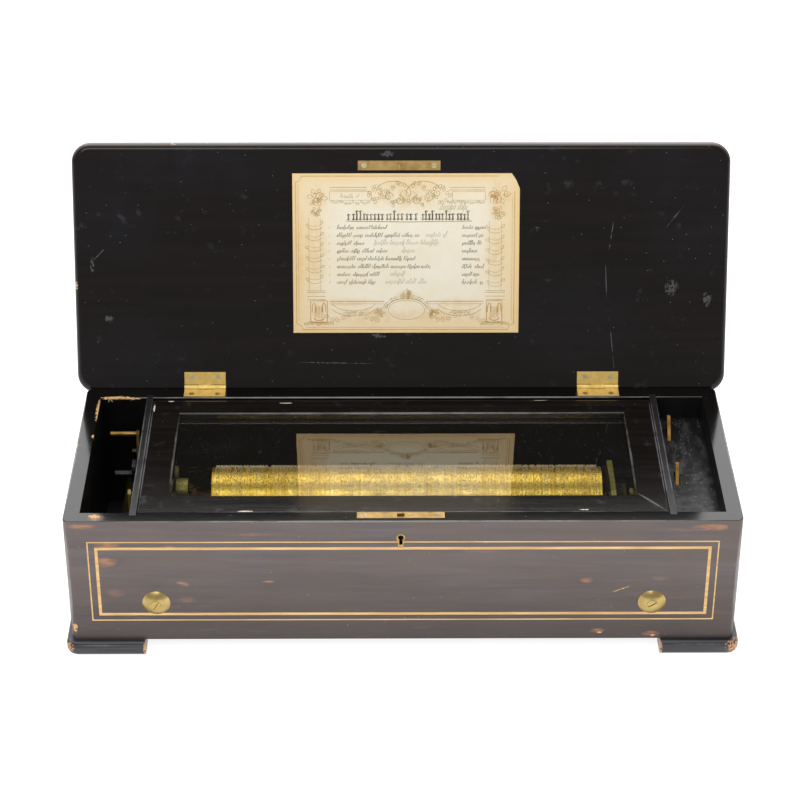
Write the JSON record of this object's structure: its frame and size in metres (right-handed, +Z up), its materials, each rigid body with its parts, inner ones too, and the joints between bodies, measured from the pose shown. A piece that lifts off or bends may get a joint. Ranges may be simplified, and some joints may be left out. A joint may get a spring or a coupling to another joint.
{
  "type": "lever-wound cylinder music box",
  "caption": "Lidded wooden case with a lever-wound spring, pinned cylinder and comb under a hinged glass inner lid, and a tune card in the outer lid.",
  "frame": {"origin": "centre of the footprint of the whole object with its lid open, at the undersides of the feet", "axes": "+X to the right along the case, -Y towards the front where the lock is, +Z up"},
  "size_m": [0.568, 0.2922, 0.3337],
  "materials": {
    "case_wood": "worn ebonised hardwood",
    "inside_wood": "dusty stained wood",
    "foot_wood": "worn black stained wood",
    "line_wood": "pale inlaid stringing",
    "lid_wood": "aged black lacquer",
    "frame_wood": "black polished wood",
    "glass": "clear",
    "paper": "aged printed paper",
    "old_brass": "tarnished",
    "bed_brass": "cast and filed",
    "bracket_brass": "aged, satin",
    "cylinder_brass": "satin",
    "bronze": "dark bronze",
    "wheel_brass": "satin",
    "lever_brass": "worn bright",
    "steel": "satin",
    "washer_brass": "worn, satin",
    "screw_steel": "satin, worn"
  },
  "bodies": {
    "case": {"front_board": "case_wood", "back_board": "case_wood", "left_end": "case_wood", "right_end": "case_wood", "bottom_board": "inside_wood", "foot_front_left": "foot_wood", "foot_front_right": "foot_wood", "foot_back_left": "foot_wood", "foot_back_right": "foot_wood", "left_partition": "inside_wood", "right_partition": "inside_wood", "control_board": "inside_wood", "stringing": "line_wood", "key_escutcheon": "old_brass", "lock": "old_brass", "case_small_screws": "screw_steel", "hinge_case_leaves": "old_brass", "hinge_pins": "steel", "bedplate": "bed_brass", "bed_cup_washers": "washer_brass", "bed_screws": "washer_brass", "bracket_screws": "screw_steel", "left_bearing": "bracket_brass", "right_bearing": "bracket_brass", "barrel_cocks": "bracket_brass", "holding_post": "steel", "governor_frame": "bracket_brass", "comb": "steel", "comb_base": "bracket_brass", "comb_screws": "screw_steel", "lever_pivots": "old_brass"},
    "lid": {"lid_board": "lid_wood", "lid_keeper": "old_brass", "lid_small_screws": "screw_steel", "tune_card": "paper", "hinge_lid_leaves": "old_brass"},
    "glass_lid": {"glass_frame_left": "frame_wood", "glass_frame_right": "frame_wood", "glass_frame_front": "frame_wood", "glass_frame_back": "frame_wood", "glass_pane": "glass", "glass_pivot_pins": "steel"},
    "lock_bolt": {"lock_bolt": "steel"},
    "cylinder": {"cylinder_arbor": "steel", "cylinder_shell": "cylinder_brass", "tune_snail": "bronze", "governor_drive_wheel": "wheel_brass"},
    "barrel": {"spring_barrel": "wheel_brass"},
    "winding_arbor": {"winding_arbor": "steel", "ratchet_wheel": "steel"},
    "winding_lever": {"winding_lever": "lever_brass", "winding_handle": "lever_brass"},
    "lever_click": {"lever_click": "steel"},
    "holding_click": {"holding_click": "steel"},
    "governor_arbor": {"governor_pinion_arbor": "steel", "worm_wheel": "wheel_brass"},
    "worm": {"worm": "steel", "fan": "steel"},
    "change_lever": {"change_lever": "lever_brass"},
    "stop_lever": {"stop_lever": "lever_brass"}
  },
  "joints": [
    {"name": "lid_hinge", "type": "hinge", "parent": "case", "child": "lid", "pos_m": [0, 0.06291, 0.1332], "axis": [-1, 0, 0], "range_deg": [-109.5, 0]},
    {"name": "glass_lid_hinge", "type": "hinge", "parent": "case", "child": "glass_lid", "pos_m": [0, 0.04131, 0.1276], "axis": [-1, 0, 0], "range_deg": [0, 88]},
    {"name": "lock_bolt_slide", "type": "slide", "parent": "case", "child": "lock_bolt", "axis": [1, 0, 0], "range_m": [0, 0.005]},
    {"name": "cylinder_spin", "type": "hinge", "parent": "case", "child": "cylinder", "pos_m": [0, -0.0356, 0.085], "axis": [1, 0, 0], "continuous": true},
    {"name": "barrel_spin", "type": "hinge", "parent": "case", "child": "barrel", "pos_m": [-0.2216, -0.0002, 0.085], "axis": [1, 0, 0], "continuous": true},
    {"name": "winding_arbor_spin", "type": "hinge", "parent": "case", "child": "winding_arbor", "pos_m": [-0.2478, -0.0002, 0.085], "axis": [1, 0, 0], "continuous": true},
    {"name": "winding_lever_hinge", "type": "hinge", "parent": "case", "child": "winding_lever", "pos_m": [-0.2284, -0.0002, 0.085], "axis": [1, 0, 0], "range_deg": [0, 75]},
    {"name": "lever_click_hinge", "type": "hinge", "parent": "winding_lever", "child": "lever_click", "pos_m": [-0.2284, 0.00693, 0.10368], "axis": [1, 0, 0], "range_deg": [0, 12], "stiffness_Nm_per_rad": 0.004, "springref_deg": -17.19},
    {"name": "holding_click_hinge", "type": "hinge", "parent": "case", "child": "holding_click", "pos_m": [-0.2324, -0.01833, 0.07655], "axis": [-1, 0, 0], "range_deg": [0, 12], "stiffness_Nm_per_rad": 0.004, "springref_deg": -17.19},
    {"name": "governor_arbor_spin", "type": "hinge", "parent": "case", "child": "governor_arbor", "pos_m": [0.17285, -0.06396, 0.08], "axis": [1, 0, 0], "continuous": true},
    {"name": "worm_spin", "type": "hinge", "parent": "case", "child": "worm", "pos_m": [0.1938, -0.07186, 0.08], "axis": [0, 0, 1], "continuous": true},
    {"name": "change_lever_hinge", "type": "hinge", "parent": "case", "child": "change_lever", "pos_m": [0.2319, 0.01393, 0.1024], "axis": [1, 0, 0], "range_deg": [0, 12]},
    {"name": "stop_lever_hinge", "type": "hinge", "parent": "case", "child": "stop_lever", "pos_m": [0.2319, -0.0522, 0.1024], "axis": [1, 0, 0], "range_deg": [0, 12]}
  ],
  "couplings": [
    {"joint": "barrel_spin", "follows": "cylinder_spin", "ratio": -0.33333},
    {"joint": "governor_arbor_spin", "follows": "cylinder_spin", "ratio": -7},
    {"joint": "worm_spin", "follows": "cylinder_spin", "ratio": -168}
  ]
}
